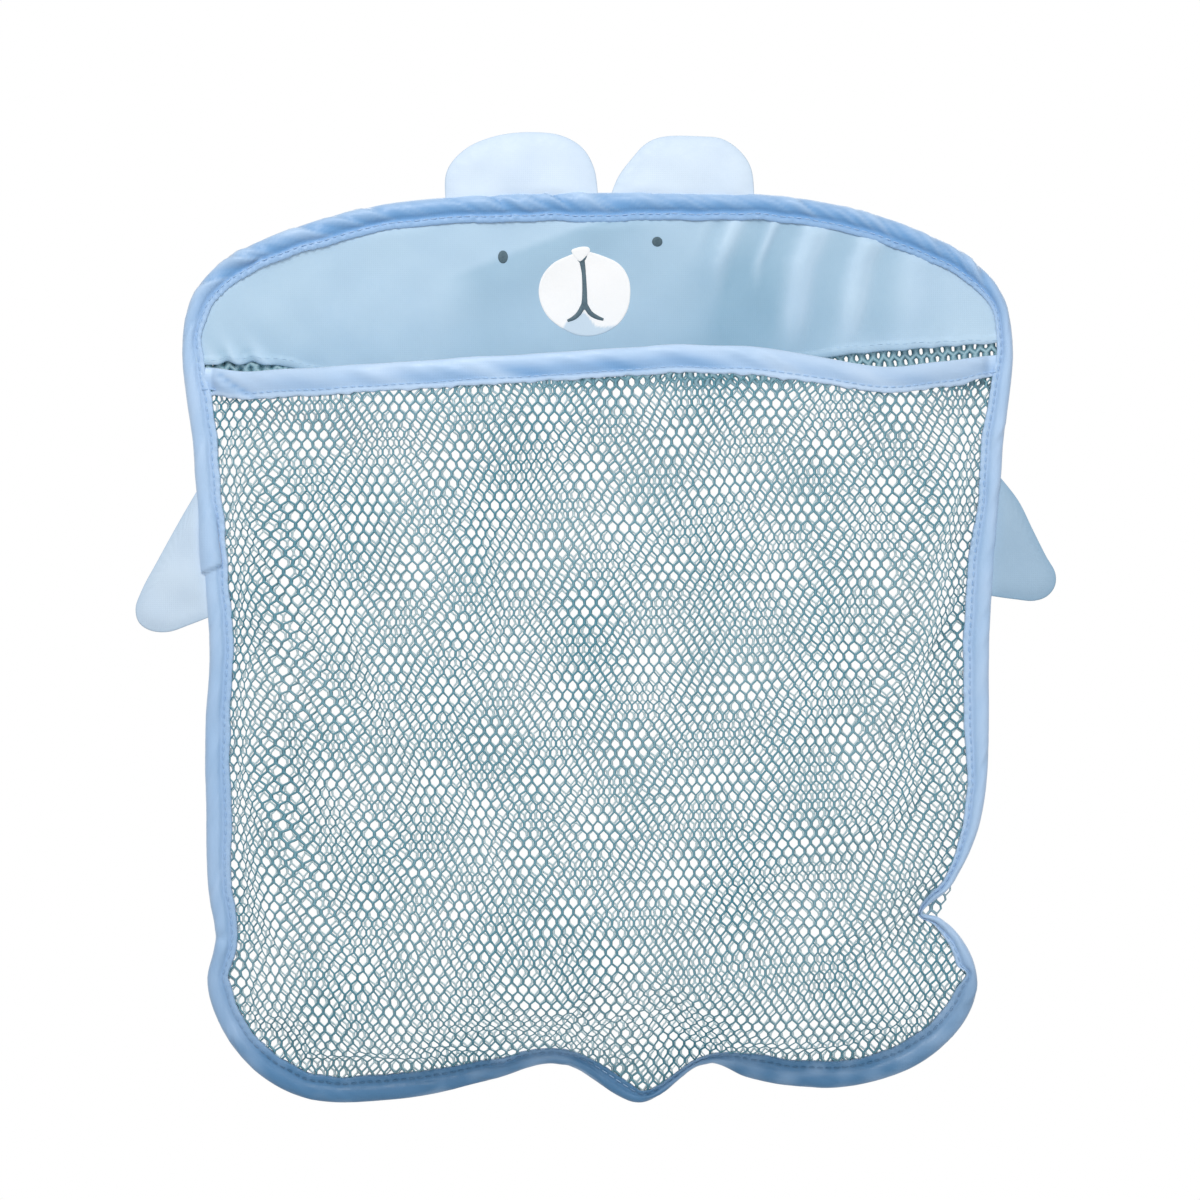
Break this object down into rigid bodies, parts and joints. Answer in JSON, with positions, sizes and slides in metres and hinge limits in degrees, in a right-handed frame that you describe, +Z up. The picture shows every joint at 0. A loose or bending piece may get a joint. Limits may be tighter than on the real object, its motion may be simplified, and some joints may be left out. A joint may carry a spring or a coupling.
{
  "type": "bath toy organizer",
  "caption": "Bear-shaped net bag for bath toys with a slack front pocket, cloth head, piped rim, floppy ears and arms, hung on a wall by cord loops on suction cups.",
  "frame": {"origin": "on the wall, midway between the centres of the two suction cups", "axes": "+X to the right as seen from the room, +Y into the wall, +Z up, so the front faces -Y"},
  "size_m": [0.3563, 0.0716, 0.3726],
  "materials": {
    "rim_tape": "light blue polyester tape, rolled and stitched",
    "head_cloth": "light blue woven polyester with a faint sheen",
    "flap_cloth": "pale blue woven polyester",
    "net_mesh": "pale mint knitted hexagonal polyester net",
    "white_felt": "white felt",
    "embroidery": "slate grey embroidery thread",
    "loop_cord": "white braided elastic cord",
    "filler_cord": "plain filler cord",
    "clear_pvc": "clear soft plastic"
  },
  "bodies": {
    "hang_loops": {"hang_loop_left": "loop_cord", "hang_loop_right": "loop_cord"},
    "bag": {"rim_binding": "rim_tape", "rim_cord": "filler_cord", "head_panel": "head_cloth", "back_net": "net_mesh", "front_net": "net_mesh", "mouth_band": "rim_tape", "muzzle_patch": "white_felt", "nose_patch": "white_felt", "mouth_embroidery": "embroidery", "eye_left": "embroidery", "eye_right": "embroidery"},
    "cup_left": {"suction_cup_left": "clear_pvc"},
    "ear_left": {"ear_left_front": "flap_cloth", "ear_left_back": "flap_cloth"},
    "arm_left": {"arm_left_front": "flap_cloth", "arm_left_back": "flap_cloth"},
    "cup_right": {"suction_cup_right": "clear_pvc"},
    "ear_right": {"ear_right_front": "flap_cloth", "ear_right_back": "flap_cloth"},
    "arm_right": {"arm_right_front": "flap_cloth", "arm_right_back": "flap_cloth"}
  },
  "joints": [
    {"name": "bag_swing", "type": "hinge", "parent": "hang_loops", "child": "bag", "pos_m": [0, -0.01425, -0.0038], "axis": [-1, 0, 0], "range_deg": [0, 20]},
    {"name": "cup_left_spin", "type": "hinge", "parent": "hang_loops", "child": "cup_left", "pos_m": [-0.03, 0, 0], "axis": [0, 1, 0], "continuous": true},
    {"name": "cup_right_spin", "type": "hinge", "parent": "hang_loops", "child": "cup_right", "pos_m": [0.03, 0, 0], "axis": [0, 1, 0], "continuous": true},
    {"name": "ear_left_fold", "type": "hinge", "parent": "bag", "child": "ear_left", "pos_m": [-0.031, -0.0169, -0.00043], "axis": [0.9995, 0, 0.0317], "range_deg": [-5, 90], "stiffness_Nm_per_rad": 0.002},
    {"name": "ear_right_fold", "type": "hinge", "parent": "bag", "child": "ear_right", "pos_m": [0.031, -0.0169, -0.00043], "axis": [0.9995, 0, -0.0317], "range_deg": [-5, 90], "stiffness_Nm_per_rad": 0.002},
    {"name": "arm_left_fold", "type": "hinge", "parent": "bag", "child": "arm_left", "pos_m": [-0.15638, -0.0169, -0.11308], "axis": [-0.0858, 0, 0.9963], "range_deg": [-35, 90], "stiffness_Nm_per_rad": 0.002},
    {"name": "arm_right_fold", "type": "hinge", "parent": "bag", "child": "arm_right", "pos_m": [0.15487, -0.0169, -0.11307], "axis": [-0.0728, 0, -0.9973], "range_deg": [-35, 90], "stiffness_Nm_per_rad": 0.002}
  ]
}
